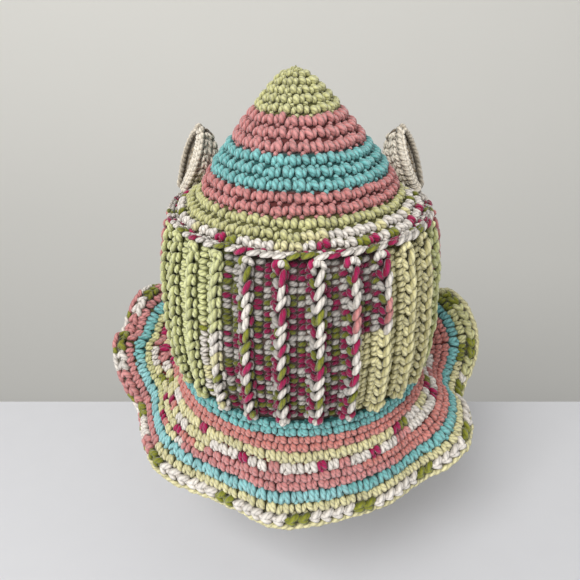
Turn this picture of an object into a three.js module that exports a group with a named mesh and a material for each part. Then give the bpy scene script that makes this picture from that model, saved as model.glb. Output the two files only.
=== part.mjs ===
// Pixie hood in crochet: a pointed crown, a chain line, a ribbed band, a ruffled brim with its edging and two
// cupped ears. Millimetres, +Z up along the axis of the crown, -Y at the nape, +X at the wearer's right.
// The origin is the centre of the head opening, at the height where the band ends and the brim begins.
import * as THREE from 'three';

// Gap that every two pieces keep where they are joined
const JOIN_GAP = 0.3;

// Ribbed band, worked sideways: half sizes over the ribs at its widest
const BAND_HALF_WIDTH = 87;
const BAND_HALF_DEPTH = 94;
const BAND_HEIGHT = 98.5;
const BAND_WALL = 3.6;
const RIB_COUNT = 28;
const RIB_RELIEF = 4.4;
const RIB_CAP = 6;
const RIB_END_RELIEF = 0.35;

// Pointed crown, worked in rounds from the tip; its foot is set in from the rib tops that carry it
const CROWN_SET_IN = 3.5;
const CROWN_HEIGHT = 82;
const CROWN_WALL = 4.4;

// Surface chain that lies round the foot of the crown, over the tops of the ribs
const CHAIN_HEIGHT = 4;
const CHAIN_THICKNESS = 3;

// Ruffled brim, measured along its slope from the band to its edge
const BRIM_SLOPE = 69;
const BRIM_WALL = 4.4;
const BRIM_BEND = 27;
const BRIM_BEND_STEPS = 24;
const EDGING_WIDTH = 9;

// Cupped ears: place round the head and turn of the open side, both in degrees from the nape, and how far the
// root's open side stands out beyond the foot of the crown
const EAR_LENGTH = 43;
const EAR_WIDTH = 34;
const EAR_DEPTH = 17;
const EAR_WALL = 3;
const EAR_PLACE = 106;
const EAR_OUTSET = 4;
const EAR_PRESS = 1;
const EAR_TURN = 70;
const EAR_LEAN = 20;
const EAR_FORWARD_LEAN = 8;

// How finely the solids are faceted
const SIDES_PER_RIB = 6;
const CROWN_SIDES = 48;
const CHAIN_SIDES = 56;
const CHAIN_SECTION_SIDES = 6;
const BRIM_SIDES = 120;
const BRIM_ROWS = 5;
const EDGING_ROWS = 1;
const EAR_SECTION_SIDES = 8;

// Band outline from its foot to its top: height as a share of BAND_HEIGHT, size as a share of its widest
const BAND_OUTLINE = [
  { height: 0.00, size: 0.950 },
  { height: 0.10, size: 0.978 },
  { height: 0.35, size: 1.005 },
  { height: 0.75, size: 0.985 },
  { height: 1.00, size: 0.925 },
];

// Crown outline from its foot to its tip: height as a share of CROWN_HEIGHT, size as a share of its foot
const CROWN_OUTLINE = [
  { height: 0.000, size: 1.000 },
  { height: 0.035, size: 0.985 },
  { height: 0.075, size: 0.930 },
  { height: 0.105, size: 0.865 },
  { height: 0.150, size: 0.805 },
  { height: 0.220, size: 0.755 },
  { height: 0.300, size: 0.705 },
  { height: 0.410, size: 0.620 },
  { height: 0.520, size: 0.520 },
  { height: 0.640, size: 0.415 },
  { height: 0.765, size: 0.305 },
  { height: 0.890, size: 0.185 },
  { height: 0.970, size: 0.105 },
];

// Waves of the brim: place round the head in degrees from the nape, plus to the wearer's right, and how far
// the slope is turned out from hanging straight down, in degrees
const BRIM_WAVES = [
  { place: -177, flare: 104 },
  { place: -162, flare: 82 },
  { place: -147, flare: 108 },
  { place: -134, flare: 96 },
  { place: -121, flare: 118 },
  { place: -110, flare: 124 },
  { place: -103, flare: 98 },
  { place: -97, flare: 97 },
  { place: -91, flare: 58 },
  { place: -86, flare: 43 },
  { place: -76, flare: 38 },
  { place: -61, flare: 34 },
  { place: -52, flare: 26 },
  { place: -43, flare: 16 },
  { place: -33, flare: 11 },
  { place: -22, flare: 11 },
  { place: -11, flare: 17 },
  { place: 2, flare: 14 },
  { place: 18, flare: 12 },
  { place: 38, flare: 16 },
  { place: 50, flare: 19 },
  { place: 56, flare: 25 },
  { place: 62, flare: 38 },
  { place: 69, flare: 47 },
  { place: 84, flare: 49 },
  { place: 91, flare: 46 },
  { place: 97, flare: 57 },
  { place: 104, flare: 98 },
  { place: 114, flare: 118 },
  { place: 122, flare: 112 },
  { place: 130, flare: 92 },
  { place: 145, flare: 108 },
  { place: 163, flare: 82 },
];

// Sections of an ear from its root to its point: shares of EAR_LENGTH, EAR_WIDTH and EAR_DEPTH
const EAR_SECTIONS = [
  { along: 0.00, width: 0.44, depth: 0.50 },
  { along: 0.15, width: 0.66, depth: 0.72 },
  { along: 0.35, width: 0.92, depth: 0.95 },
  { along: 0.52, width: 1.00, depth: 1.00 },
  { along: 0.70, width: 0.86, depth: 0.90 },
  { along: 0.85, width: 0.60, depth: 0.70 },
  { along: 0.95, width: 0.36, depth: 0.46 },
];

const DEPTH_RATIO = BAND_HALF_DEPTH / BAND_HALF_WIDTH;
const CROWN_HALF_WIDTH = BAND_HALF_WIDTH * BAND_OUTLINE[BAND_OUTLINE.length - 1].size - CROWN_SET_IN;
const CROWN_FOOT_Z = BAND_HEIGHT + JOIN_GAP;
const CHAIN_TOP_Z = CROWN_FOOT_Z + CHAIN_HEIGHT;

const COLOURS = {
  paleGreen: 0xd3d79c,
  aqua: 0x8fd0cc,
  pink: 0xe2a29b,
  white: 0xe9e2d6,
  cream: 0xd8cbb4,
};

function woollen(colour) {
  return new THREE.MeshStandardMaterial({ color: colour, roughness: 0.92, metalness: 0 });
}

function radians(degrees) {
  return THREE.MathUtils.degToRad(degrees);
}

// Value of a table's column at a place between its rows, on straight lines from row to row
function readTable(table, column, value, at) {
  const next = Math.max(1, table.findIndex((row) => row[column] >= at));
  const high = table[at > table[table.length - 1][column] ? table.length - 1 : next];
  const low = table[table.indexOf(high) - 1];
  const share = THREE.MathUtils.clamp((at - low[column]) / (high[column] - low[column]), 0, 1);
  return THREE.MathUtils.lerp(low[value], high[value], share);
}

// Point on an upright oval outline; the angle is counted from the nape, plus to the wearer's right
function ovalPoint(angle, halfWidth, z) {
  return new THREE.Vector3(halfWidth * Math.sin(angle), -halfWidth * DEPTH_RATIO * Math.cos(angle), z);
}

// Closed solid from rings of points; the rings follow each other outside, over a rim and back inside.
// A ring with one point is a pole. With closed set, the last ring is joined to the first one.
function solidFromRings(rings, closed) {
  const positions = [];
  const starts = rings.map((ring) => {
    const start = positions.length / 3;
    ring.forEach((point) => positions.push(point.x, point.y, point.z));
    return start;
  });
  const index = [];
  const bands = closed ? rings.length : rings.length - 1;
  for (let i = 0; i < bands; i += 1) {
    const j = (i + 1) % rings.length;
    const sides = Math.max(rings[i].length, rings[j].length);
    for (let k = 0; k < sides; k += 1) {
      const next = (k + 1) % sides;
      const a = starts[i] + (rings[i].length === 1 ? 0 : k);
      const b = starts[i] + (rings[i].length === 1 ? 0 : next);
      const c = starts[j] + (rings[j].length === 1 ? 0 : next);
      const d = starts[j] + (rings[j].length === 1 ? 0 : k);
      if (a !== b) {
        index.push(a, d, b);
      }
      if (c !== d) {
        index.push(b, d, c);
      }
    }
  }
  const geometry = new THREE.BufferGeometry();
  geometry.setAttribute('position', new THREE.Float32BufferAttribute(positions, 3));
  geometry.setIndex(index);
  geometry.computeVertexNormals();
  return geometry;
}

function ovalRing(sides, pointAt) {
  return Array.from({ length: sides }, (unused, k) => pointAt((k / sides) * 2 * Math.PI));
}

function namedMesh(name, geometry, material) {
  const mesh = new THREE.Mesh(geometry, material);
  mesh.name = name;
  return mesh;
}

// Half width of the crown's outside and inside, from foot to tip
function crownProfile(inset) {
  const outside = CROWN_OUTLINE.map((row) => new THREE.Vector2(
    row.size * CROWN_HALF_WIDTH,
    CROWN_FOOT_Z + row.height * CROWN_HEIGHT,
  ));
  outside.push(new THREE.Vector2(0, CROWN_FOOT_Z + CROWN_HEIGHT));
  return outside.map((point, i) => {
    const before = outside[Math.max(i - 1, 0)];
    const after = outside[Math.min(i + 1, outside.length - 1)];
    const along = after.clone().sub(before).normalize();
    const inward = new THREE.Vector2(-along.y, along.x);
    const atFoot = i === 0;
    const atTip = i === outside.length - 1;
    if (atFoot) {
      return new THREE.Vector2(point.x - inset, point.y);
    }
    if (atTip) {
      return new THREE.Vector2(0, point.y - inset);
    }
    return point.clone().addScaledVector(inward, inset);
  });
}

function makeCrown() {
  const outside = crownProfile(0);
  const inside = crownProfile(CROWN_WALL);
  const ringOf = (point) => (point.x === 0
    ? [new THREE.Vector3(0, 0, point.y)]
    : ovalRing(CROWN_SIDES, (angle) => ovalPoint(angle, point.x, point.y)));
  const rings = [...outside.reverse().map(ringOf), ...inside.map(ringOf)];
  return namedMesh('crown', solidFromRings(rings, false), woollen(COLOURS.pink));
}

// The chain is a cord of flattened section, laid against the foot of the crown
function makeChainLine() {
  const middle = CROWN_HALF_WIDTH + JOIN_GAP + CHAIN_THICKNESS / 2;
  const rings = Array.from({ length: CHAIN_SECTION_SIDES }, (unused, i) => {
    const turn = (i / CHAIN_SECTION_SIDES) * 2 * Math.PI;
    const halfWidth = middle + (CHAIN_THICKNESS / 2) * Math.cos(turn);
    const z = CROWN_FOOT_Z + (CHAIN_HEIGHT / 2) * (1 - Math.sin(turn));
    return ovalRing(CHAIN_SIDES, (angle) => ovalPoint(angle, halfWidth, z));
  });
  return namedMesh('chain_line', solidFromRings(rings, true), woollen(COLOURS.white));
}

// Share of the rib relief that stands at this angle: 1 on a ridge, 0 in a valley; a valley lies at the nape
function ribShare(angle) {
  return (1 - Math.cos(angle * RIB_COUNT)) / 2;
}

function makeRibbedBand() {
  const sides = RIB_COUNT * SIDES_PER_RIB;
  const sizeAt = (z) => BAND_HALF_WIDTH * readTable(BAND_OUTLINE, 'height', 'size', z / BAND_HEIGHT);
  const outside = (z, relief) => ovalRing(sides, (angle) => (
    ovalPoint(angle, sizeAt(z) - RIB_RELIEF * (1 - relief * ribShare(angle)), z)
  ));
  const inside = (z) => ovalRing(sides, (angle) => ovalPoint(angle, sizeAt(z) - RIB_RELIEF - BAND_WALL, z));
  const middles = BAND_OUTLINE.slice(1, -1).map((row) => row.height * BAND_HEIGHT).reverse();
  const rings = [
    outside(BAND_HEIGHT, RIB_END_RELIEF),
    outside(BAND_HEIGHT - RIB_CAP, 1),
    ...middles.map((z) => outside(z, 1)),
    outside(RIB_CAP, 1),
    outside(0, RIB_END_RELIEF),
    inside(0),
    inside(BAND_HEIGHT / 2),
    inside(BAND_HEIGHT),
  ];
  return namedMesh('ribbed_band', solidFromRings(rings, true), woollen(COLOURS.paleGreen));
}

// Flare of the brim in degrees at any angle, on a smooth closed curve through the rows of BRIM_WAVES
function flareAt(angle) {
  const count = BRIM_WAVES.length;
  const first = BRIM_WAVES[0].place;
  const degrees = first + THREE.MathUtils.euclideanModulo(THREE.MathUtils.radToDeg(angle) - first, 360);
  const row = (i) => {
    const wave = BRIM_WAVES[THREE.MathUtils.euclideanModulo(i, count)];
    return { place: wave.place + 360 * Math.floor(i / count), flare: wave.flare };
  };
  const past = BRIM_WAVES.findIndex((wave) => wave.place > degrees);
  const i = (past === -1 ? count : past) - 1;
  const [p0, p1, p2, p3] = [row(i - 1), row(i), row(i + 1), row(i + 2)];
  const span = p2.place - p1.place;
  const t = (degrees - p1.place) / span;
  const slopeIn = ((p2.flare - p0.flare) / (p2.place - p0.place)) * span;
  const slopeOut = ((p3.flare - p1.flare) / (p3.place - p1.place)) * span;
  return (2 * t ** 3 - 3 * t ** 2 + 1) * p1.flare + (t ** 3 - 2 * t ** 2 + t) * slopeIn
    + (3 * t ** 2 - 2 * t ** 3) * p2.flare + (t ** 3 - t ** 2) * slopeOut;
}

// Middle of the brim's fabric, a given length down its slope: it leaves the band straight down and is
// turned out to its flare over the first BRIM_BEND of its length
function brimPoint(angle, slope) {
  const flare = radians(flareAt(angle));
  const step = slope / BRIM_BEND_STEPS;
  let out = 0;
  let down = 0;
  for (let i = 0; i < BRIM_BEND_STEPS; i += 1) {
    const passed = (i + 0.5) * step;
    const turned = flare * THREE.MathUtils.smoothstep(passed, 0, BRIM_BEND);
    out += Math.sin(turned) * step;
    down += Math.cos(turned) * step;
  }
  const seamHalfWidth = BAND_HALF_WIDTH * BAND_OUTLINE[0].size - RIB_RELIEF / 2 - BAND_WALL / 2;
  const point = ovalPoint(angle, seamHalfWidth, -JOIN_GAP - down);
  point.x += out * Math.sin(angle);
  point.y -= out * Math.cos(angle);
  return point;
}

// Brim fabric point pushed out of the middle along the surface's own normal; side is 1 outside, -1 inside
function brimFace(angle, slope, side) {
  const turn = Math.PI / BRIM_SIDES;
  const step = 1;
  const round = brimPoint(angle + turn, slope).sub(brimPoint(angle - turn, slope));
  const downhill = brimPoint(angle, slope + step).sub(brimPoint(angle, Math.max(slope - step, 0)));
  if (slope === 0) {
    downhill.set(0, 0, -1);
  }
  const outward = downhill.cross(round).normalize().multiplyScalar((side * BRIM_WALL) / 2);
  return brimPoint(angle, slope).add(outward);
}

function makeBrimPiece(name, from, to, rows, material) {
  const slopes = Array.from({ length: rows + 1 }, (unused, i) => THREE.MathUtils.lerp(from, to, i / rows));
  const face = (slope, side) => ovalRing(BRIM_SIDES, (angle) => brimFace(angle, slope, side));
  const rings = [
    ...slopes.map((slope) => face(slope, 1)),
    ...slopes.map((slope) => face(slope, -1)).reverse(),
  ];
  return namedMesh(name, solidFromRings(rings, true), material);
}

// Point moved off the crown, along the crown's normal, until it keeps the clearance
function clearOfCrown(point, clearance) {
  const oval = Math.hypot(point.x, point.y / DEPTH_RATIO);
  const place = new THREE.Vector2(oval, point.z);
  const profile = crownProfile(0);
  let nearest = { distance: Infinity };
  for (let i = 0; i < profile.length - 1; i += 1) {
    const along = profile[i + 1].clone().sub(profile[i]);
    const share = THREE.MathUtils.clamp(place.clone().sub(profile[i]).dot(along) / along.lengthSq(), 0, 1);
    const foot = profile[i].clone().addScaledVector(along, share);
    const distance = foot.distanceTo(place);
    if (distance < nearest.distance) {
      const outward = new THREE.Vector2(along.y, -along.x).normalize();
      nearest = { distance, foot, outward };
    }
  }
  const signed = place.sub(nearest.foot).dot(nearest.outward);
  if (signed >= clearance) {
    return point;
  }
  const moved = nearest.foot.addScaledVector(nearest.outward, clearance);
  const scale = moved.x / oval;
  return new THREE.Vector3(point.x * scale, point.y * scale, moved.y);
}

// One ear: a leaf that is cupped across its width, open towards EAR_TURN, on the shoulder of the crown.
// hand is 1 for the wearer's right ear and -1 for the left one.
function makeEar(name, hand) {
  const place = radians(EAR_PLACE);
  const rootHalfWidth = CROWN_HALF_WIDTH + EAR_OUTSET;
  const root = ovalPoint(hand * place, rootHalfWidth, CHAIN_TOP_Z + JOIN_GAP);
  const lean = radians(EAR_LEAN);
  const forward = radians(EAR_FORWARD_LEAN);
  const length = new THREE.Vector3(-hand * Math.sin(lean), Math.sin(forward), Math.cos(lean)).normalize();
  const turn = radians(EAR_TURN);
  const open = new THREE.Vector3(hand * Math.sin(turn), -Math.cos(turn), 0);
  open.addScaledVector(length, -open.dot(length)).normalize();
  const across = new THREE.Vector3().crossVectors(length, open);
  const facing = open.dot(new THREE.Vector3(hand * Math.sin(place), -Math.cos(place), 0));
  const crownShare = readTable(CROWN_OUTLINE, 'height', 'size', (root.z - CROWN_FOOT_Z) / CROWN_HEIGHT);
  const rootDepth = (rootHalfWidth - CROWN_HALF_WIDTH * crownShare) / facing + EAR_PRESS;
  const pointAt = (section, v, wall) => {
    const halfWidth = (EAR_WIDTH * section.width) / 2 - wall;
    const depth = (section.along === 0 ? rootDepth : EAR_DEPTH * section.depth) - wall;
    const point = root.clone()
      .addScaledVector(length, EAR_LENGTH * section.along)
      .addScaledVector(across, halfWidth * Math.sin(v * Math.PI / 2))
      .addScaledVector(open, -depth * Math.cos(v * Math.PI / 2));
    const clear = clearOfCrown(point, JOIN_GAP + wall);
    clear.z = Math.max(clear.z, CHAIN_TOP_Z + JOIN_GAP);
    return clear;
  };
  const steps = Array.from({ length: EAR_SECTION_SIDES + 1 }, (unused, i) => (2 * i) / EAR_SECTION_SIDES - 1);
  const rings = EAR_SECTIONS.map((section) => [
    ...steps.map((v) => pointAt(section, v, 0)),
    ...steps.map((v) => pointAt(section, v, EAR_WALL)).reverse(),
  ]);
  const tip = root.clone().addScaledVector(length, EAR_LENGTH);
  return namedMesh(name, leafSolid(rings, tip), woollen(COLOURS.cream));
}

// Closed solid from crescent-shaped sections, closed flat at the root and to a point at the tip
function leafSolid(rings, tip) {
  const size = rings[0].length;
  const points = [...rings.flat(), tip];
  const index = [];
  for (let i = 0; i < rings.length - 1; i += 1) {
    for (let k = 0; k < size; k += 1) {
      const a = i * size + k;
      const b = i * size + ((k + 1) % size);
      index.push(a, a + size, b);
      index.push(b, a + size, b + size);
    }
  }
  const last = (rings.length - 1) * size;
  for (let k = 0; k < size; k += 1) {
    index.push(last + k, points.length - 1, last + ((k + 1) % size));
  }
  for (let k = 0; k < size / 2 - 1; k += 1) {
    const opposite = size - 1 - k;
    index.push(k, k + 1, opposite);
    index.push(k + 1, opposite - 1, opposite);
  }
  const geometry = new THREE.BufferGeometry().setFromPoints(points);
  geometry.setIndex(index);
  geometry.computeVertexNormals();
  return geometry;
}

const edgingStart = BRIM_SLOPE - EDGING_WIDTH;

const pixieHood = new THREE.Group();
pixieHood.add(
  makeCrown(),
  makeChainLine(),
  makeRibbedBand(),
  makeBrimPiece('ruffle_brim', 0, edgingStart - JOIN_GAP, BRIM_ROWS, woollen(COLOURS.aqua)),
  makeBrimPiece('brim_edging', edgingStart, BRIM_SLOPE, EDGING_ROWS, woollen(COLOURS.white)),
  makeEar('left_ear', -1),
  makeEar('right_ear', 1),
);

export default pixieHood;
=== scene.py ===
"""Pixie hood in crochet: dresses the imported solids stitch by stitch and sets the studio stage."""

import math
from collections import namedtuple

import bpy
import numpy as np
from bpy.props import FloatProperty, FloatVectorProperty, IntProperty, PointerProperty
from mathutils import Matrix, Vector


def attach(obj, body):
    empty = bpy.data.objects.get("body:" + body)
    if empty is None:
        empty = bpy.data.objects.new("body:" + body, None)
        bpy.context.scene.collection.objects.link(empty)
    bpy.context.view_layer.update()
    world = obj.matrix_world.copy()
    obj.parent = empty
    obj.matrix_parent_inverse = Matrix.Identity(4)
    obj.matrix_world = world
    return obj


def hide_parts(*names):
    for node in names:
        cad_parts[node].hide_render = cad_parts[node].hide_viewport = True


bl_info = {
    "name": "Pixie Hood in Crochet",
    "version": (1, 0, 0),
    "blender": (4, 5, 0),
    "location": "View3D > Sidebar > Pixie Hood",
    "description": "Makes the stitches, fabric and stage of a crocheted pixie hood",
    "category": "Object",
}

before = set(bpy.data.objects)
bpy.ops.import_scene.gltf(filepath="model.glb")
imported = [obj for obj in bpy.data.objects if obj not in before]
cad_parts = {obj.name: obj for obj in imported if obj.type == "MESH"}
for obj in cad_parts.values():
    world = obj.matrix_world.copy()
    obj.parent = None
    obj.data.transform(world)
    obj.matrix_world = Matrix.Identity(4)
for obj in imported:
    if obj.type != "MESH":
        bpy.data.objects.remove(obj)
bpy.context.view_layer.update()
BODY = "root"

# Band outline from foot to top: share of the height, share of the widest half width
BAND_OUTLINE = [(0.00, 0.950), (0.10, 0.978), (0.35, 1.005), (0.75, 0.985), (1.00, 0.925)]

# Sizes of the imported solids, in metres
JOIN_GAP = 0.0003
BAND_HALF_WIDTH = 0.087
BAND_HALF_DEPTH = 0.094
DEPTH_RATIO = BAND_HALF_DEPTH / BAND_HALF_WIDTH
BAND_HEIGHT = 0.0985
BAND_WALL = 0.0036
RIB_COUNT = 28
RIB_PITCH = 2 * math.pi / RIB_COUNT
RIB_RELIEF = 0.0044
RIB_END_RELIEF, RIB_END_RUN = 0.35, 0.006
CROWN_INSET = 0.0035
CROWN_HALF_WIDTH = BAND_HALF_WIDTH * BAND_OUTLINE[-1][1] - CROWN_INSET
CROWN_HEIGHT = 0.082
CROWN_WALL = 0.0044
CROWN_FOOT = BAND_HEIGHT + JOIN_GAP
CHAIN_HEIGHT = 0.004
CHAIN_THICKNESS = 0.003
BRIM_SLOPE = 0.069
BRIM_WALL = 0.0044
BRIM_BEND = 0.027
BRIM_BEND_STEPS = 24
EDGING_WIDTH = 0.009
EAR_WIDTH = 0.034
EAR_DEPTH = 0.017
EAR_WALL = 0.003
EAR_OUTSET = 0.004
EAR_PRESS = 0.001
EAR_PLACE, EAR_TURN, EAR_LEAN, EAR_FORWARD_LEAN = (math.radians(a) for a in (106, 70, 20, 8))

# What the photo shows a little otherwise than the solids: shorter ears, and a tip of the crown that leans to
# the left and has sunk into a dome
EAR_LENGTH = 0.041
TIP_LEAN, TIP_SINK = 0.0032, 0.0018

# Crown outline from foot to tip: share of the height, share of the foot's half width
CROWN_OUTLINE = [
    (0.000, 1.000), (0.035, 0.985), (0.075, 0.930), (0.105, 0.865), (0.150, 0.805), (0.220, 0.755),
    (0.300, 0.705), (0.410, 0.620), (0.520, 0.520), (0.640, 0.415), (0.765, 0.305), (0.890, 0.185),
    (0.970, 0.105), (1.000, 0.000),
]

# Waves of the brim: degrees round from the middle of the back, and degrees that the slope is turned out
BRIM_WAVES = [
    (-177, 104), (-162, 82), (-147, 108), (-134, 96), (-121, 118), (-110, 124), (-103, 98), (-97, 97),
    (-91, 58), (-86, 43), (-76, 38), (-61, 34), (-52, 26), (-43, 16), (-33, 11), (-22, 11), (-11, 17),
    (2, 14), (18, 12), (38, 16), (50, 19), (56, 25), (62, 38), (69, 47), (84, 49), (91, 46), (97, 57),
    (104, 98), (114, 118), (122, 112), (130, 92), (145, 108), (163, 82),
]

# Ear sections from root to point: shares of its length, width and depth
EAR_SECTIONS = [
    (0.00, 0.44, 0.50), (0.15, 0.66, 0.72), (0.35, 0.90, 0.93), (0.52, 0.98, 0.98), (0.70, 0.90, 0.92),
    (0.85, 0.70, 0.76), (0.95, 0.42, 0.50), (1.00, 0.10, 0.16),
]

# One strand of a stitch: its middle across and up the stitch as shares of the stitch's width and height,
# how far it stands out, its width and length as shares, its thickness, and its lean in degrees
Strand = namedtuple("Strand", "across up lift width length thick lean")

ROUND_STITCH = [
    Strand(0.23, 0.03, 0.0002, 0.57, 0.98, 0.0040, -15),
    Strand(-0.27, -0.03, -0.0003, 0.46, 0.84, 0.0035, 12),
    Strand(-0.03, -0.50, -0.0012, 0.42, 0.44, 0.0030, 0),
]
BRIM_STITCH = [
    Strand(0.24, 0.03, 0.0002, 0.57, 1.12, 0.0038, -14),
    Strand(-0.26, -0.03, -0.0001, 0.50, 1.02, 0.0035, 9),
    Strand(-0.02, -0.50, -0.0011, 0.46, 0.52, 0.0030, 0),
]
BRIM_BACK_STITCH = [Strand(0, 0, 0, 0.98, 0.86, 0.0030, 70)]
EAR_STITCH = [
    Strand(0.26, 0, 0, 0.50, 1.24, 0.0026, -24),
    Strand(-0.24, 0, 0, 0.46, 1.20, 0.0025, 20),
]
EDGE_STITCH = [
    Strand(0.14, 0.21, 0.0012, 0.62, 1.56, 0.0048, 58),
    Strand(-0.06, -0.19, 0.0010, 0.60, 1.52, 0.0046, -56),
    Strand(0.40, 0.02, -0.0004, 0.50, 0.90, 0.0034, 0),
]
EDGE_CORD_STITCH = [Strand(0, 0, 0, 0.86, 2.30, 0.0046, 84)]
CHAIN_LINK = [
    Strand(0.0, 0.0, 0.0006, 0.44, 1.20, 0.0034, 76),
    Strand(0.5, 0.05, -0.0014, 0.40, 1.00, 0.0026, 86),
]

# Columns of stitches across one rib: place from the ridge as a share of the pitch, shift down as a share of
# the stitch, and the rest of the strand that repeats along the column, from lift to lean
RIDGE_COLUMNS = [(0.01, 0.0, 0.0014, 0.170, 1.56, 0.0042, 24)]
FLANK_COLUMNS = [(-0.13, 0.5, 0.0002, 0.175, 1.00, 0.0038, -26), (0.14, 0.8, -0.0002, 0.140, 0.90, 0.0032, 4)]
VALLEY_COLUMNS = [
    (-0.27, 0.10, -0.0006, 0.165, 0.88, 0.0034, 62), (-0.27, 0.62, -0.0012, 0.150, 0.70, 0.0032, 84),
    (-0.47, 0.35, -0.0012, 0.170, 0.86, 0.0036, 86), (-0.47, 0.88, -0.0018, 0.150, 0.80, 0.0032, 70),
    (-0.68, 0.20, -0.0010, 0.170, 0.88, 0.0036, -74), (-0.68, 0.70, -0.0014, 0.150, 0.84, 0.0034, -60),
]

# Where a column starts, and how near the band's top and foot its stitches may lie, as shares of a stitch
COLUMN_START, COLUMN_TOP, COLUMN_FOOT = 0.25, 0.35, 0.25

# Rounded end of a rib: places of its strands from the ridge as shares of the pitch, height of the stitch, and
# how far from the end of the rib it lies
CAP_PLACES, CAP_STITCH, CAP_INSET = (-0.15, -0.03, 0.08), 0.0068, 0.0030
CAP_STRANDS = [
    Strand(0, 0.05, 0.0010, 0.20, 0.95, 0.0048, 18),
    Strand(0, 0.14, 0.0022, 0.22, 0.66, 0.0050, 74),
    Strand(0, 0.05, 0.0010, 0.18, 0.95, 0.0044, -22),
]

# How unevenly a hand works: turn of a strand, then its slip along, up and out of the round
HAND_SLIP = np.array([0.13, 0.00028, 0.00026, 0.00024])

# How a round wanders up and down: waves in a round, and each wave's height as a share of the round's
ROUND_WAVES, ROUND_WOBBLE = (7, 12, 19), 0.035

# How far the rounds stand out of their solid: crown, ribs, caps, brim's top, brim's underside and ears
CROWN_LIFT, RIB_LIFT, CAP_LIFT = -0.0008, -0.0007, -0.0004
BRIM_LIFT, BRIM_BACK_LIFT, EAR_LIFT = -0.0009, -0.0010, -0.0006

# How far round each next round of the crown and of the brim starts, in radians
CROWN_TURN, BRIM_TURN = 0.9, 0.7

# Points round a surface that measure the length of a round
ROUND_GRID = 1441

# Shape of one strand, and how deep its ends dip as a share of its thickness
STRAND_SIDES, STRAND_RINGS, STRAND_BEND, CHAIN_BEND = 8, 5, 0.35, 0.25

# Knot that closes the tip of the crown: its half sizes, its slant distance from the tip and how deep it lies;
# and how far the hollow lies under the tip
TIP_KNOT, KNOT_SLANT, KNOT_SINK, HOLLOW_SINK = (0.0026, 0.0024, 0.0018), 0.0004, 0.001, CROWN_WALL * 1.6

# Width of the cord along the brim's edge, how far it stands past the edge, and how far the fabric stays back
EDGE_CORD, EDGE_CORD_PAST, EDGE_INSET = 0.0032, 0.0008, 0.0012

# Width of the stitches on top of the brim, in the braid and in the cord, as shares of the stitch width, and
# height of the cord's as a share of the cord
BRIM_STITCH_SHARE, BRAID_STITCH_SHARE, CORD_STITCH_SHARE, CORD_HEIGHT_SHARE = 0.97, 0.98, 0.62, 1.1

# Rows of an ear, width of its stitches, the share of the way to its rims that they reach, its arc as a
# multiple of its half width, how far it stays off the crown, and the least half width and depth of a section
EAR_ROWS, EAR_STITCH_WIDTH, EAR_REACH, EAR_ARC, EAR_CLEARANCE, EAR_LEAST = 9, 0.0058, 0.9, 2.4, 0.0004, 0.0002

# Strands along a rim of an ear: how many, their half sizes, their way off the rim's middle to the side and
# outward, and their lean
RIM_COUNT, RIM_STRAND, RIM_SHIFT, RIM_LIFT = 13, (0.0032, 0.0018, 0.0021), 0.0012, 0.0004
RIM_LEAN = math.radians(24)

# Rounds of the crown from the tip: height in millimetres, yarn on the left and on the right of the back
CROWN_ROUNDS = [
    (4.2, "green", "green"), (5.8, "green", "green"), (6.0, "green", "green"), (6.0, "green", "green"),
    (6.0, "green", "green"), (6.0, "green", "green"), (7.6, "pink", "pink"), (7.7, "pink", "pink"),
    (7.7, "pink", "pink"), (7.1, "aqua", "aqua"), (7.1, "aqua", "aqua"), (7.1, "aqua", "aqua"),
    # The darker pink and pale green of these lower rounds are painted shade
    (6.5, "rose", "rose"), (6.4, "rose", "rose"), (6.4, "sage", "sage"), (7.2, "sage", "dyed_white"),
    (6.2, "dyed_pale", "dyed_mixed"), (3.7, "dyed_mixed", "dyed_mixed"),
]

# Rounds of the brim from the band down: height in millimetres, and the yarn up to each angle from the back
BRIM_ROUNDS = [
    (4.8, [(180, "aqua")]),
    (4.9, [(180, "aqua")]),
    (4.9, [(180, "coral")]),
    (5.0, [(-85, "yellow"), (180, "coral")]),
    (6.8, [(-95, "dyed_bits"), (-45, "dyed_cream"), (45, "yellow"), (100, "dyed_pale"), (180, "dyed_olive")]),
    (6.8, [(-75, "dyed_bits"), (-40, "dyed_cream"), (100, "dyed_magenta"), (180, "coral")]),
    (5.4, [(-75, "dyed_bits"), (-44, "dyed_cream"), (25, "pink"), (180, "coral")]),
    (5.5, [(-75, "green"), (-52, "dyed_cream"), (40, "pink"), (180, "coral")]),
    (7.7, [(-95, "aqua"), (20, "frost"), (180, "aqua")]),
    (6.4, [(-66, "pink"), (100, "yellow"), (180, "dyed_green")]),
]
EDGE_YARNS = [(-66, "dyed_edge_pink"), (98, "dyed_edge"), (180, "dyed_green")]
CORD_YARNS = [(-66, "dyed_edge_pink"), (180, "yellow")]

# Ribs counted from the back to each side: yarn of the upper and of the lower half, left and right
RIB_YARNS = [
    ("dyed_mixed",) * 4,
    ("dyed_olive", "dyed_mixed", "dyed_magenta", "dyed_mixed"),
    ("lime", "dyed_white", "dyed_magenta", "yellow"),
    *[("lime", "lime", "yellow", "yellow")] * 2,
    *[(yarn,) * 4 for yarn in ("lime", "pink", "pink", "aqua", "aqua", "pink", "lime", "lime", "dyed_white")],
]

# Share of the band's height, from the top, where the ribs of two yarns change
RIB_COLOUR_CHANGE = 0.45

# Dyed yarn that shows between the ribs for that of each ridge, with fewer whites, partly its own mix and partly
# painted shade; and how dark the painted shade makes the dyed strands there
DEEP_DYES = {"dyed_mixed": "dyed_deep", "dyed_magenta": "dyed_deep", "dyed_olive": "dyed_moss"}
VALLEY_SHADE = 0.60

# Painted shade on the fabric between the stitches: how much fuller in colour and darker it is than its yarn
DEEP_FULLNESS, DEEP_SHADE = 1.6, 0.34

# How much the stitches of one yarn differ in lightness
YARN_UNEVENNESS = 0.06
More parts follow.
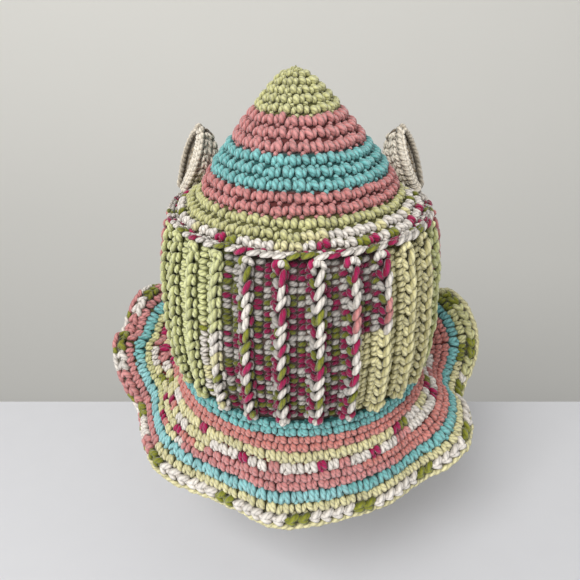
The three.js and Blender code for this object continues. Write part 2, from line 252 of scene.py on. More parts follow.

# Plied yarn: how the plies wind round and along a strand; its darkest shade, and how far plies, fibres and
# patches lighten it, the plies with painted shade in the grooves between them; and how much darker and fuller
# in colour its flanks are, as painted shade
PLY_ROUND, PLY_ALONG = 1.5, 2.6
DARKEST, PLY_LIGHT, FIBRE_LIGHT, PATCH_LIGHT = 0.10, 0.34, 0.98, 0.24
FLANK_DARK, FLANK_FULL = 0.95, 0.9

# Close crochet, darkened throughout as painted shade under and behind the stitches: its darkest shade, and how
# far lumps and fibres lighten it
CLOSE_DARKEST, CLOSE_LUMPS, CLOSE_FIBRES = 0.25, 0.55, 0.12

# Fabric: points round the crown, each rib and the brim, and across an ear; rings to a round, in the edging and
# along an ear; and the run down the brim over which it thins out under the stitches
CROWN_POINTS, RIB_POINTS, BRIM_POINTS, EAR_POINTS = 96, 12, 240, 17
RINGS_PER_ROUND, EDGE_RINGS, EAR_RINGS, SEAM_RUN = 3, 5, 22, 0.003

# How deep the fabric lies under the stitches: in the ears, at the band's foot, and in the ribs as a multiple of
# the fabric bed
EAR_BED, FOOT_BED, RIB_BED = 0.0008, 0.0004, 1.3

# Relief on the inside: of the crown and its turn from ring to ring, and of the band's ribs and rows
INSIDE_RELIEF, INSIDE_TURN, INSIDE_RIBS, INSIDE_ROWS = 0.0004, 2.1, 0.0006, 0.0003

# Stage: back edge of the table, place of the wall, the lamps with what they light, and the light of the room
TABLE_BACK, WALL_AT, LIT_PLACE = 0.160, 0.75, (0, 0, 0.05)
Lamp = namedtuple("Lamp", "name place size power")
LAMPS = [Lamp("Window light", (-0.6, -1.1, 1.25), 0.9, 26), Lamp("Fill light", (1.3, -1.2, 0.8), 1.6, 4)]
ROOM_LIGHT, ROOM_STRENGTH = (0.95, 0.97, 1.0, 1.0), 0.37

# Camera: lens and sensor in millimetres, its place, its tilt down in degrees, and the share of the picture by
# which the hood's axis is right of the middle
LENS, SENSOR, CAMERA_PLACE, CAMERA_TILT = 36.12, 36.0, (0, -0.34815, 0.21178), 26.2
AXIS_SHARE = (300.5 - 580 / 2) / 580

# Dyed yarns: the colours that they pass through, with the least and most stitches of each
DYES = {
    "dyed_mixed": [("white", 1, 3), ("olive", 1, 1), ("white", 1, 2), ("magenta", 1, 1), ("white", 1, 2),
                   ("olive", 0, 1), ("magenta", 1, 1)],
    # Between the ribs: fewer whites than on the ridges, partly the yarn's own mix and partly painted shade
    "dyed_deep": [("magenta", 1, 2), ("white", 1, 1), ("olive", 1, 1), ("magenta", 1, 2), ("white", 1, 2),
                  ("olive", 0, 1)],
    "dyed_moss": [("olive", 1, 2), ("white", 2, 3), ("olive", 1, 1), ("magenta", 1, 1), ("white", 1, 2)],
    "dyed_pale": [("white", 2, 3), ("yellow", 1, 2), ("white", 1, 3), ("magenta", 1, 1), ("olive", 1, 1)],
    "dyed_cream": [("yellow", 1, 4), ("magenta", 1, 1), ("coral", 1, 2), ("yellow", 1, 3), ("white", 1, 2)],
    "dyed_bits": [("yellow", 1, 2), ("magenta", 1, 1), ("pink", 1, 2), ("white", 1, 2), ("yellow", 1, 1),
                  ("olive", 0, 1)],
    "dyed_green": [("green", 2, 4), ("olive", 1, 3), ("green", 1, 3), ("magenta", 0, 1)],
    "dyed_edge_pink": [("white", 2, 3), ("pink", 2, 4), ("olive", 1, 2)],
    "dyed_olive": [("white", 2, 4), ("olive", 1, 2), ("white", 1, 3), ("olive", 1, 1), ("magenta", 0, 1)],
    "dyed_magenta": [("white", 1, 3), ("magenta", 1, 1), ("white", 1, 2), ("pink", 1, 2), ("white", 1, 2),
                     ("magenta", 0, 1)],
    "dyed_white": [("white", 2, 3), ("yellow", 1, 2), ("white", 1, 2), ("olive", 0, 1)],
    "dyed_edge": [("white", 4, 6), ("olive", 2, 2)],
    "dyed_chain": [("white", 1, 1), ("olive", 1, 1), ("white", 1, 1), ("magenta", 1, 1), ("white", 1, 2)],
}


def linear(colour):
    """Linear red, green and blue of a screen colour from 0 to 1."""
    return tuple(c / 12.92 if c <= 0.04045 else ((c + 0.055) / 1.055) ** 2.4 for c in colour)


def yarn_colour(name, description, colour):
    return FloatVectorProperty(
        name=name, description=description, subtype="COLOR", size=3, min=0, max=1, default=linear(colour))


def length(name, description, default):
    return FloatProperty(name=name, description=description, default=default, unit="LENGTH")


class HoodYarns(bpy.types.PropertyGroup):
    """Colours of the yarns, and darker copies of some of them that carry painted shade."""
    green: yarn_colour("Pale green", "Yarn of the crown's tip and part of the brim", (0.88, 0.87, 0.65))
    yellow: yarn_colour("Pale yellow", "Yellower stretches of the pale green yarn", (0.94, 0.91, 0.72))
    lime: yarn_colour("Pale lime", "Yarn of most ribs", (0.91, 0.915, 0.69))
    # Painted shade: the pale green darkened for the crown's lower rounds
    sage: yarn_colour("Sage", "Duller stretches of the pale green yarn", (0.85, 0.84, 0.62))
    # Painted shade: the pink darkened for the crown's lower rounds
    rose: yarn_colour("Rose", "Deeper stretches of the pink yarn", (0.86, 0.59, 0.575))
    pink: yarn_colour("Pink", "Yarn of the crown's pink rounds and the pink ribs", (0.88, 0.62, 0.605))
    coral: yarn_colour("Coral", "Yarn of the brim's pink rounds", (0.90, 0.61, 0.57))
    aqua: yarn_colour("Aqua", "Yarn of the aqua rounds", (0.56, 0.81, 0.80))
    frost: yarn_colour("Frost", "Paler stretches of the aqua yarn", (0.65, 0.86, 0.86))
    white: yarn_colour("White", "Undyed stretches of the dyed yarn", (0.97, 0.94, 0.90))
    olive: yarn_colour("Olive", "Olive stretches of the dyed yarn", (0.60, 0.61, 0.24))
    magenta: yarn_colour("Magenta", "Magenta stretches of the dyed yarn", (0.72, 0.15, 0.38))
    cream: yarn_colour("Cream", "Yarn of the ears", (0.98, 0.94, 0.87))
    # Painted shade: the cream darkened for the ears' hollow side
    tan: yarn_colour("Tan", "Yarn of the ears' hollow side", (0.84, 0.77, 0.66))


class HoodSizes(bpy.types.PropertyGroup):
    """Sizes of the stitches and of the stage."""
    stitch_width: length("Stitch width", "Width of one stitch along its round", 0.0071)
    rib_stitch: length("Rib stitch", "Height of one stitch up a rib", 0.0065)
    chain_link: length("Chain link", "Length of one link of the surface chain", 0.0068)
    bed: length("Fabric bed", "How deep the fabric lies under the stitches", 0.0019)
    fullness: FloatProperty(
        name="Fullness", description="Size of every strand against its measured size", default=1.0,
        subtype="FACTOR")
    unevenness: FloatProperty(
        name="Unevenness", description="How much the strands differ in size", default=0.07,
        subtype="FACTOR")
    table_height: length("Table height", "Height of the table under the held hood", -0.172)
    seed: IntProperty(name="Seed", description="Seed of the uneven hand work", default=7)


# ---- Surfaces of the hood: points for arrays of places, in metres ----


def oval_point(angle, half_width, z):
    """Points on an upright oval; the angle is counted from the middle of the back, plus to the right."""
    angle, half_width, z = np.broadcast_arrays(angle, half_width, z)
    return np.stack([half_width * np.sin(angle), -half_width * DEPTH_RATIO * np.cos(angle), z], axis=-1)


def unit(vectors):
    return vectors / np.maximum(np.linalg.norm(vectors, axis=-1, keepdims=True), 1e-12)


def run_lengths(points):
    """Length of a line of points from its start to each point."""
    return np.concatenate([[0], np.cumsum(np.linalg.norm(np.diff(points, axis=0), axis=1))])


def table_columns(table):
    return [np.array(column, float) for column in zip(*table)]


CROWN_LINE = np.stack(table_columns(CROWN_OUTLINE)[::-1], axis=-1)[::-1] * [CROWN_HALF_WIDTH, CROWN_HEIGHT]
CROWN_LINE[:, 1] += CROWN_FOOT
CROWN_RUN = run_lengths(CROWN_LINE)
CROWN_SLANT = float(CROWN_RUN[-1])


def crown_surface(angle, slant, lift=0.0):
    """Outside of the crown at a slant distance from the tip, pushed outward by lift."""
    step = 0.002
    slant = np.asarray(slant, float)

    def line(s):
        s = np.clip(s, 0, CROWN_SLANT)
        return np.interp(s, CROWN_RUN, CROWN_LINE[:, 0]), np.interp(s, CROWN_RUN, CROWN_LINE[:, 1])

    width, z = line(slant)
    wide_a, z_a = line(slant - step)
    wide_b, z_b = line(slant + step)
    run = np.hypot(wide_b - wide_a, z_b - z_a)
    point = oval_point(angle, width - lift * (z_b - z_a) / run, z + lift * (wide_b - wide_a) / run)
    rise = np.clip((point[..., 2] - BAND_HEIGHT) / CROWN_HEIGHT, 0, 1)
    point[..., 0] -= TIP_LEAN * rise ** 2
    point[..., 2] -= TIP_SINK * rise ** 8
    return point


def rib_share(angle):
    """Share of the rib relief at an angle: 1 on a ridge, 0 in a valley."""
    return (1 - np.cos(np.asarray(angle) * RIB_COUNT)) / 2


def band_half_width(z):
    """Half width of the band over its ridges at a height."""
    return BAND_HALF_WIDTH * np.interp(z / BAND_HEIGHT, *table_columns(BAND_OUTLINE))


def band_surface(angle, drop, lift=0.0):
    """Outside of the ribbed band at a distance down from its top, pushed outward by lift."""
    z = BAND_HEIGHT - np.asarray(drop, float)
    ends = np.clip(np.minimum(z, BAND_HEIGHT - z) / RIB_END_RUN, 0, 1)
    relief = RIB_END_RELIEF + (1 - RIB_END_RELIEF) * ends
    return oval_point(angle, band_half_width(z) - RIB_RELIEF * (1 - relief * rib_share(angle)) + lift, z)


def flare_table():
    """Flare of the brim for every tenth of a degree, on a smooth closed curve through the waves."""
    places, flares = table_columns(BRIM_WAVES)
    count = len(places)
    place = np.concatenate([places - 360, places, places + 360])
    flare = np.tile(flares, 3)
    slope = (np.roll(flare, -1) - np.roll(flare, 1)) / (np.roll(place, -1) - np.roll(place, 1))
    degrees = np.arange(-1800, 1801) / 10
    i = np.clip(np.searchsorted(place, degrees, side="right") - 1, count // 2, 3 * count - 3)
    span = place[i + 1] - place[i]
    t = (degrees - place[i]) / span
    value = ((2 * t**3 - 3 * t**2 + 1) * flare[i] + (t**3 - 2 * t**2 + t) * slope[i] * span
             + (3 * t**2 - 2 * t**3) * flare[i + 1] + (t**3 - t**2) * slope[i + 1] * span)
    return np.radians(degrees), np.radians(value)


FLARE_ANGLES, FLARES = flare_table()


def brim_middle(angle, slope):
    """Middle of the brim's fabric at a distance down its slope."""
    angle, slope = (np.asarray(x, float) for x in np.broadcast_arrays(angle, slope))
    turned_angle = np.remainder(angle + math.pi, 2 * math.pi) - math.pi
    flare = np.interp(turned_angle, FLARE_ANGLES, FLARES)
    out, down = np.zeros(angle.shape), np.zeros(angle.shape)
    for i in range(BRIM_BEND_STEPS):
        share = np.clip((i + 0.5) / BRIM_BEND_STEPS * slope / BRIM_BEND, 0, 1)
        turned = flare * share * share * (3 - 2 * share)
        out += np.sin(turned) * slope / BRIM_BEND_STEPS
        down += np.cos(turned) * slope / BRIM_BEND_STEPS
    seam = BAND_HALF_WIDTH * BAND_OUTLINE[0][1] - RIB_RELIEF / 2 - BAND_WALL / 2
    point = oval_point(angle, seam, -JOIN_GAP - down)
    point[..., 0] += out * np.sin(angle)
    point[..., 1] -= out * np.cos(angle)
    return point


def brim_surface(angle, slope, lift=0.0):
    """Brim's fabric at a distance down its slope, pushed out of its middle by lift."""
    turn, step = 0.012, 0.0008
    angle, slope = (np.asarray(x, float) for x in np.broadcast_arrays(angle, slope))
    low = np.maximum(slope, step)
    around = brim_middle(angle + turn, low) - brim_middle(angle - turn, low)
    downhill = brim_middle(angle, low + step) - brim_middle(angle, low - step)
    return brim_middle(angle, slope) + unit(np.cross(downhill, around)) * np.asarray(lift)[..., None]


def surface_frame(surface, angle, run, lift=0.0):
    """Point, direction round, direction up and outward normal of a surface whose run grows downward."""
    turn, step = 0.006, 0.0008
    point = surface(angle, run, lift)
    around = unit(surface(angle + turn, run, lift) - surface(angle - turn, run, lift))
    up = unit(surface(angle, np.maximum(run - step, 0), lift) - surface(angle, run + step, lift))
    normal = unit(np.cross(around, up))
    return point, around, np.cross(normal, around), normal


# ---- Nodes ----


class Nodes:
    """Adds the nodes of one tree; an input that is given a socket is linked, and any other is set."""

    def __init__(self, tree):
        self.tree = tree

    def add(self, kind, inputs=(), **settings):
        made = self.tree.nodes.new(kind)
        for key, value in settings.items():
            setattr(made, key, value)
        for key, value in dict(inputs).items():
            if isinstance(value, bpy.types.NodeSocket):
                self.tree.links.new(value, made.inputs[key])
            else:
                made.inputs[key].default_value = value
        return made.outputs

    def math(self, operation, *values):
        return self.add("ShaderNodeMath", enumerate(values), operation=operation)[0]


class Shade(Nodes):
    """The nodes of one material."""

    def __init__(self, name):
        self.material = bpy.data.materials.new(name)
        self.material.use_nodes = True
        super().__init__(self.material.node_tree)
        self.shader = self.tree.nodes["Principled BSDF"].inputs

    def attribute(self, name, output):
        return self.add("ShaderNodeAttribute", attribute_name=name, attribute_type="GEOMETRY")[output]

    def noise(self, scale, detail, roughness=0.6):
        place = self.add("ShaderNodeTexCoord")["Object"]
        return self.add("ShaderNodeTexNoise", {
            "Vector": place, "Scale": scale, "Detail": detail, "Roughness": roughness})["Fac"]

    def shaded_colour(self, colour, share):
        """Gives the shader a colour made lighter and darker by a share."""
        scaled = self.add("ShaderNodeVectorMath", {0: colour, "Scale": share}, operation="SCALE")[0]
        self.tree.links.new(scaled, self.shader["Base Color"])

    def bump(self, height, distance, strength, **under):
        return self.add("ShaderNodeBump", {
            "Height": height, "Distance": distance, "Strength": strength, **under})["Normal"]

    def woollen(self, normal, sheen):
        self.tree.links.new(normal, self.shader["Normal"])
        self.shader["Roughness"].default_value = 0.88
        self.shader["Specular IOR Level"].default_value = 0.18
        self.shader["Sheen Weight"].default_value = sheen
        self.shader["Sheen Roughness"].default_value = 0.45
        return self.material


def yarn_material():
    """Plied yarn: rounded plies that wind round each strand, with fine loose fibres, and painted shade in the
    grooves between the plies and on the flanks.
    """
    made = bpy.data.materials.get("Plied yarn")
    if made:
        return made
    shade = Shade("Plied yarn")
    strand = shade.add("ShaderNodeSeparateXYZ", {0: shade.attribute("strand", "Vector")})
    around = shade.math("ARCTAN2", strand["Z"], strand["Y"])
    wound = shade.math("ADD", shade.math("MULTIPLY", around, PLY_ROUND),
                       shade.math("MULTIPLY", strand["X"], PLY_ALONG))
    ply = shade.math("ABSOLUTE", shade.math("SINE", wound))
    hump = shade.math("POWER", ply, 0.6)
    fibres = shade.noise(640, 4, 0.8)
    patches = shade.noise(260, 2)
    # Painted shade: the grooves between the plies are darker than their tops
    light = shade.math("MULTIPLY_ADD", hump, PLY_LIGHT, DARKEST)
    light = shade.math("ADD", light, shade.math("MULTIPLY", fibres, FIBRE_LIGHT))
    light = shade.math("ADD", light, shade.math("MULTIPLY", patches, PATCH_LIGHT))
    # Painted shade: the flanks that turn into the fabric are darker and fuller in colour than the top of the
    # strand
    flank = shade.math("MULTIPLY_ADD", strand["Z"], -0.5, 0.5)
    light = shade.math("MULTIPLY", light, shade.math("MULTIPLY_ADD", flank, -FLANK_DARK, 1.0))
    fuller = shade.math("MULTIPLY_ADD", flank, FLANK_FULL, 1.0)
    full = shade.add("ShaderNodeGamma", {"Color": shade.attribute("yarn", "Color"), "Gamma": fuller})
    shade.shaded_colour(full["Color"], light)
    plies = shade.bump(hump, 0.0007, 0.8)
    return shade.woollen(shade.bump(fibres, 0.0007, 0.8, Normal=plies), 0.42)


def fabric_material():
    """Close crochet between and behind the stitches, darkened throughout as painted shade, and darker still where
    it lies deep from the painted shade in its vertex colours.
    """
    made = bpy.data.materials.get("Close crochet")
    if made:
        return made
    shade = Shade("Close crochet")
    lumps = shade.noise(420, 3)
    fibres = shade.noise(1500, 3)
    # Painted shade: the fabric is darkened throughout, and random lumps and fibres lighten it
    light = shade.math("MULTIPLY_ADD", lumps, CLOSE_LUMPS, CLOSE_DARKEST)
    light = shade.math("ADD", light, shade.math("MULTIPLY", fibres, CLOSE_FIBRES))
    shade.shaded_colour(shade.attribute("yarn", "Color"), light)
    knots = shade.bump(lumps, 0.0012, 0.7)
    return shade.woollen(shade.bump(fibres, 0.0003, 0.4, Normal=knots), 0.02)


def plain_material(name, colour, roughness, grain_scale, grain):
    """Matt plain surface with a faint grain, for the stage."""
    shade = Shade(name)
    light = shade.math("MULTIPLY_ADD", shade.noise(grain_scale, 4), grain, 1 - grain / 2)
    tint = shade.add("ShaderNodeRGB")[0]
    tint.default_value = (*linear(colour), 1.0)
    shade.shaded_colour(tint, light)
    shade.shader["Roughness"].default_value = roughness
    shade.shader["Specular IOR Level"].default_value = 0.2
    return shade.material


def stitch_nodes():
    """Node tree that puts a plump, bent strand on every point of a guide."""
    tree = bpy.data.node_groups.get("Stitch rows")
    if tree:
        return tree
    tree = bpy.data.node_groups.new("Stitch rows", "GeometryNodeTree")
    for name, kind, way in (
        ("Geometry", "Geometry", "INPUT"), ("Fullness", "Float", "INPUT"), ("Unevenness", "Float", "INPUT"),
        ("Bend", "Float", "INPUT"), ("Seed", "Int", "INPUT"), ("Yarn", "Material", "INPUT"),
        ("Geometry", "Geometry", "OUTPUT"),
    ):
        tree.interface.new_socket(name, in_out=way, socket_type="NodeSocket" + kind)
    nodes = Nodes(tree)
    given = nodes.add("NodeGroupInput")

    # The strand: a sphere with its poles along X, made plump and bent down at both ends
    ball = nodes.add("GeometryNodeMeshUVSphere", {
        "Segments": STRAND_SIDES, "Rings": STRAND_RINGS, "Radius": 1.0})
    lying = nodes.add("GeometryNodeTransform", {"Geometry": ball["Mesh"], "Rotation": (0, math.pi / 2, 0)})
    position = nodes.add("GeometryNodeInputPosition")["Position"]
    marked = nodes.add("GeometryNodeStoreNamedAttribute", {
        "Geometry": lying["Geometry"], "Name": "strand", "Value": position},
        data_type="FLOAT_VECTOR", domain="POINT")
    parts = nodes.add("ShaderNodeSeparateXYZ", {"Vector": position})
    square = nodes.math("MULTIPLY", parts["X"], parts["X"])
    plump = nodes.math("SQRT", nodes.math("ADD", square, 1.0))
    dip = nodes.math("MULTIPLY", square, given["Bend"])
    shaped = nodes.add("ShaderNodeCombineXYZ", {
        "X": parts["X"], "Y": nodes.math("MULTIPLY", parts["Y"], plump),
        "Z": nodes.math("SUBTRACT", nodes.math("MULTIPLY", parts["Z"], plump), dip)})
    strand = nodes.add("GeometryNodeSetPosition", {
        "Geometry": marked["Geometry"], "Position": shaped["Vector"]})

    def named(name):
        return nodes.add("GeometryNodeInputNamedAttribute", {"Name": name}, data_type="FLOAT_VECTOR")["Attribute"]

    turn = nodes.add("FunctionNodeAxesToRotation", {
        "Primary Axis": named("along"), "Secondary Axis": named("facing")}, primary_axis="X", secondary_axis="Z")
    chance = nodes.add("FunctionNodeRandomValue", {2: -1.0, 3: 1.0, "Seed": given["Seed"]}, data_type="FLOAT")[1]
    varied = nodes.math("MULTIPLY_ADD", chance, given["Unevenness"], 1.0)
    scale = nodes.add("ShaderNodeVectorMath", {
        0: named("size"), "Scale": nodes.math("MULTIPLY", varied, given["Fullness"])}, operation="SCALE")
    points = nodes.add("GeometryNodeMeshToPoints", {"Mesh": given["Geometry"]})
    laid = nodes.add("GeometryNodeInstanceOnPoints", {
        "Points": points["Points"], "Instance": strand["Geometry"], "Rotation": turn["Rotation"],
        "Scale": scale["Vector"]})
    real = nodes.add("GeometryNodeRealizeInstances", {"Geometry": laid["Instances"]})
    smooth = nodes.add("GeometryNodeSetShadeSmooth", {"Geometry": real["Geometry"]})
    paint = nodes.add("GeometryNodeSetMaterial", {"Geometry": smooth["Geometry"], "Material": given["Yarn"]})
    nodes.add("NodeGroupOutput", {"Geometry": paint["Geometry"]})
    return tree


# ---- Stitches ----


class YarnRun:
    """A yarn as it is worked: plain, or dyed in stretches of a few stitches."""

    def __init__(self, name, yarns, rng):
        self.plan = DYES.get(name, [(name, 1, 1)])
        self.yarns = yarns
        self.rng = rng
        self.step = int(rng.integers(len(self.plan)))
        self.left = 0

    def next(self):
        while self.left <= 0:
            self.step = (self.step + 1) % len(self.plan)
            self.colour, least, most = self.plan[self.step]
            self.left = int(self.rng.integers(least, most + 1))
        self.left -= 1
        shade = 1 + YARN_UNEVENNESS * self.rng.standard_normal()
        return [max(0.0, c * shade) for c in getattr(self.yarns, self.colour)]


class StitchRows:
    """Places, directions, half sizes and colours of the strands of one piece."""

    def __init__(self, rng):
        self.rng = rng
        self.strands = []

    def add(self, place, along, facing, size, colour):
        self.strands.append((place, along, facing, size, [*colour, 1.0]))

    def lay(self, frame_at, strand, width, height, colour):
        """Lays one strand on a stitch whose middle, directions and normal are given."""
        point, around, up, normal = frame_at
        slip = self.rng.standard_normal(4) * HAND_SLIP
        lean = math.radians(strand.lean) + slip[0]
        along = up * math.cos(lean) + around * math.sin(lean)
        place = (point + around * (strand.across * width + slip[1]) + up * (strand.up * height + slip[2])
                 + normal * (strand.lift + slip[3]))
        half = (strand.length * height / 2, strand.width * width / 2, strand.thick / 2)
        self.add(place, along, normal, half, colour)

    def guide(self, name):
        """Object of loose points that carries the rows for the stitch nodes."""
        places, *rows = zip(*self.strands)
        mesh = bpy.data.meshes.new(name)
        mesh.from_pydata([tuple(p) for p in places], [], [])
        for attribute, values in zip(("along", "facing", "size", "yarn"), rows):
            kind = "color" if attribute == "yarn" else "vector"
            data = mesh.attributes.new(attribute, "FLOAT_" + kind.upper(), "POINT").data
            data.foreach_set(kind, np.array(values, np.float32).ravel())
        return placed(name, mesh)


def even_angles(surface, run, count, start):
    """Angles that part one round of a surface into equal stitches, and the round's length."""
    grid = np.linspace(0, 2 * math.pi, ROUND_GRID) + start
    lengths = run_lengths(surface(grid, np.full(grid.shape, run)))
    return np.interp((np.arange(count) + 0.5) / count * lengths[-1], lengths, grid), lengths[-1]


def lay_round(rows, surface, run, height, stitch_width, strands, yarn_of, start, lift, back=False):
    """Lays one round of stitches; yarn_of gives the yarn run for an angle."""
    count = max(5, round(even_angles(surface, run, 1, start)[1] / stitch_width))
    angles, round_length = even_angles(surface, run, count, start)
    waves = rows.rng.uniform(0, 2 * math.pi, len(ROUND_WAVES))
    wobble = height * ROUND_WOBBLE * sum(np.sin(n * angles + wave) for n, wave in zip(ROUND_WAVES, waves))
    point, around, up, normal = surface_frame(surface, angles, run + wobble, lift)
    if back:
        around, normal = -around, -normal
    for k, angle in enumerate(angles):
        colour = yarn_of(math.remainder(angle, 2 * math.pi)).next()
        for strand in strands:
            rows.lay((point[k], around[k], up[k], normal[k]), strand, round_length / count, height, colour)


def placed(name, data):
    """New object in the scene."""
    made = bpy.data.objects.new(name, data)
    bpy.context.scene.collection.objects.link(made)
    return made


def hood_piece(name, mesh):
    """New object of the hood's body, attached to it."""
    piece = placed(name, mesh)
    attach(piece, BODY)
    return piece


def worked(rows, name, sizes, seed=0, bend=STRAND_BEND):
    """Plain mesh object with all the stitches of a piece."""
    guide = rows.guide(name + "_guide")
    tree = stitch_nodes()
    modifier = guide.modifiers.new("Stitches", "NODES")
    modifier.node_group = tree
    values = {"Fullness": sizes.fullness, "Unevenness": sizes.unevenness, "Bend": bend,
              "Seed": sizes.seed + seed, "Yarn": yarn_material()}
    for item in tree.interface.items_tree:
        if item.in_out == "INPUT" and item.name in values:
            modifier[item.identifier] = values[item.name]
    guide.update_tag()
    depsgraph = bpy.context.evaluated_depsgraph_get()
    mesh = bpy.data.meshes.new_from_object(
        guide.evaluated_get(depsgraph), preserve_all_data_layers=True, depsgraph=depsgraph)
    if not mesh.polygons:
        raise RuntimeError(f"{name}: the stitch nodes made nothing")
    bpy.data.objects.remove(guide)
    mesh.name = name
    return hood_piece(name, mesh)


# ---- Fabric under the stitches ----


def fabric_object(name, vertices, faces, tints):
    """Object of a fabric from its faces, with a linear colour for each vertex."""
    mesh = bpy.data.meshes.new(name)
    mesh.from_pydata(vertices, [], faces)
    mesh.attributes.new("yarn", "FLOAT_COLOR", "POINT").data.foreach_set(
        "color", np.array([[*tint, 1.0] for tint in tints], np.float32).ravel())
    mesh.shade_smooth()
    mesh.materials.append(fabric_material())
    return hood_piece(name, mesh)


def fabric_from_rings(name, rings, colours, closed):
    """Closed shell from rings of points that go over the outside, the rim and back inside."""
    vertices, faces, tints, starts = [], [], [], []
    for ring, colour in zip(rings, colours):
        starts.append(len(vertices))
        vertices.extend(tuple(p) for p in ring)
        tints.extend(np.broadcast_to(np.asarray(colour, float), (len(ring), 3)))
    for i in range(len(rings) if closed else len(rings) - 1):
        j = (i + 1) % len(rings)
        sides = max(len(rings[i]), len(rings[j]))
        for k in range(sides):
            corners = ((i, k), (j, k), (j, (k + 1) % sides), (i, (k + 1) % sides))
            # A ring of one point closes an end, where the sides are triangles
            faces.append(list(dict.fromkeys(starts[ring] + corner % len(rings[ring]) for ring, corner in corners)))
    return fabric_object(name, vertices, faces, tints)


def brim_fabric(name, slopes, tones, bed):
    """Fabric of a stretch of the brim, as thick as its solid at the seam and thinner under the stitches."""
    angles = np.linspace(0, 2 * math.pi, BRIM_POINTS, endpoint=False)
    halves = BRIM_WALL / 2 - bed * np.clip(np.array(slopes) / SEAM_RUN, 0.2, 1)
    outside, inside = ([brim_surface(angles, np.full(angles.shape, s), np.full(angles.shape, side * half))
                        for s, half in zip(slopes, halves)] for side in (1, -1))
    return fabric_from_rings(name, [*outside, *inside[::-1]], [*tones, *tones[::-1]], closed=True)


def measured_area(surface, start, end):
    """Area of one face of a surface between two runs, over the whole round."""
    angles, runs = np.meshgrid(np.linspace(0, 2 * math.pi, 361), np.linspace(start, end, 12), indexing="ij")
    points = surface(angles, runs)
    across, down = points[1:, :-1] - points[:-1, :-1], points[:-1, 1:] - points[:-1, :-1]
    return float(np.linalg.norm(np.cross(across, down), axis=-1).sum())


def average_colour(yarns, name):
    """Colour of a yarn seen as a whole, for the fabric behind its stitches."""
    plan = DYES.get(name, [(name, 1, 1)])
    total = sum(least + most for _, least, most in plan)
    mixed = sum(np.array(getattr(yarns, colour)) * (least + most) for colour, least, most in plan)
    return mixed / total


def deep(colour):
    """Colour of the fabric between stitches of a colour, made darker and fuller in colour as painted shade."""
    return DEEP_SHADE * np.asarray(colour) ** DEEP_FULLNESS


def rib_yarns(rib):
    """Yarns of the upper and of the lower half of a rib, counted from the back to the right."""
    if rib < RIB_COUNT // 2:
        return RIB_YARNS[rib][2:]
    return RIB_YARNS[RIB_COUNT - 1 - rib][:2]


# ---- Operators ----


class HoodPiece:
    """What the operators of the worked pieces share."""
    bl_options = {"REGISTER", "UNDO"}

    def begin(self, context, seed):
        self.sizes = context.scene.hood_sizes
        self.yarns = context.scene.hood_yarns
        self.rng = np.random.default_rng(self.sizes.seed * 100 + seed)

    def yarn(self, name):
        return YarnRun(name, self.yarns, self.rng)

    def yarns_by_angle(self, changes):
        """Function that gives the yarn of a round at an angle, from the yarn up to each angle in degrees."""
        runs = [(math.radians(limit), self.yarn(name)) for limit, name in changes]
        return lambda angle: next((run for limit, run in runs if angle < limit), runs[-1][1])


class HOOD_OT_crown(HoodPiece, bpy.types.Operator):
    """Make the pointed crown, worked in rounds from the tip"""
    bl_idname = "hood.crown"
    bl_label = "Crown"

    def execute(self, context):
        self.begin(context, 1)
        heights = np.array([height for height, _, _ in CROWN_ROUNDS])
        heights *= CROWN_SLANT / heights.sum()
        ends = np.cumsum(heights)
        rows = StitchRows(self.rng)
        for i, (_, left, right) in enumerate(CROWN_ROUNDS):
            left_yarn = self.yarn(left)
            right_yarn = left_yarn if left == right else self.yarn(right)
            lay_round(rows, crown_surface, ends[i] - heights[i] / 2, heights[i], self.sizes.stitch_width,
                      ROUND_STITCH, lambda angle, a=left_yarn, b=right_yarn: a if angle < 0 else b,
                      start=CROWN_TURN * i + math.pi, lift=CROWN_LIFT)
        rows.add(crown_surface(0, KNOT_SLANT) - [0, 0, KNOT_SINK], (1, 0, 0), (0, 0, 1), TIP_KNOT,
                 self.yarn("green").next())
        stitches = worked(rows, "crown_stitches", self.sizes, seed=1)

        angles = np.linspace(0, 2 * math.pi, CROWN_POINTS, endpoint=False)
        slants = np.linspace(0, CROWN_SLANT, RINGS_PER_ROUND * len(heights) + 1)[1:]
        outside = [crown_surface(angles, s, -self.sizes.bed) for s in slants]
        inside = [crown_surface(angles, s, -CROWN_WALL + INSIDE_RELIEF * math.cos(i * INSIDE_TURN))
                  for i, s in enumerate(slants) if s > CROWN_WALL][::-1]
        tip, inner_tip = (crown_surface(0, 0) - [0, 0, depth] for depth in (self.sizes.bed, HOLLOW_SINK))
        tones = [average_colour(self.yarns, CROWN_ROUNDS[int(np.searchsorted(ends[:-1], s))][1]) for s in slants]
        inner_tones = [tone for s, tone in zip(slants, tones) if s > CROWN_WALL][::-1]
        # Painted shade: the fabric's outside, between the stitches, is darker and fuller in colour than its yarn
        outer_tones = [deep(tone) for tone in tones]
        fabric = fabric_from_rings(
            "crown_fabric", [[tip], *outside, *inside, [inner_tip]],
            [outer_tones[0], *outer_tones, *inner_tones, inner_tones[-1]], closed=False)
        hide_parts("crown")
        return {"FINISHED"}


class HOOD_OT_chain_line(HoodPiece, bpy.types.Operator):
    """Make the surface chain round the foot of the crown"""
    bl_idname = "hood.chain_line"
    bl_label = "Chain line"

    def execute(self, context):
        self.begin(context, 2)
        half = CROWN_HALF_WIDTH + JOIN_GAP + CHAIN_THICKNESS / 2
        middle = CROWN_FOOT + CHAIN_HEIGHT / 2

        def line(angle, run, lift=0.0):
            return oval_point(angle, half + lift, middle - np.asarray(run, float))

        rows = StitchRows(self.rng)
        lay_round(rows, line, 0.0, self.sizes.chain_link, self.sizes.chain_link, CHAIN_LINK,
                  self.yarns_by_angle([(180, "dyed_chain")]), start=0.0, lift=0.0)
        stitches = worked(rows, "chain_links", self.sizes, seed=2, bend=CHAIN_BEND)
        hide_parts("chain_line")
        return {"FINISHED"}


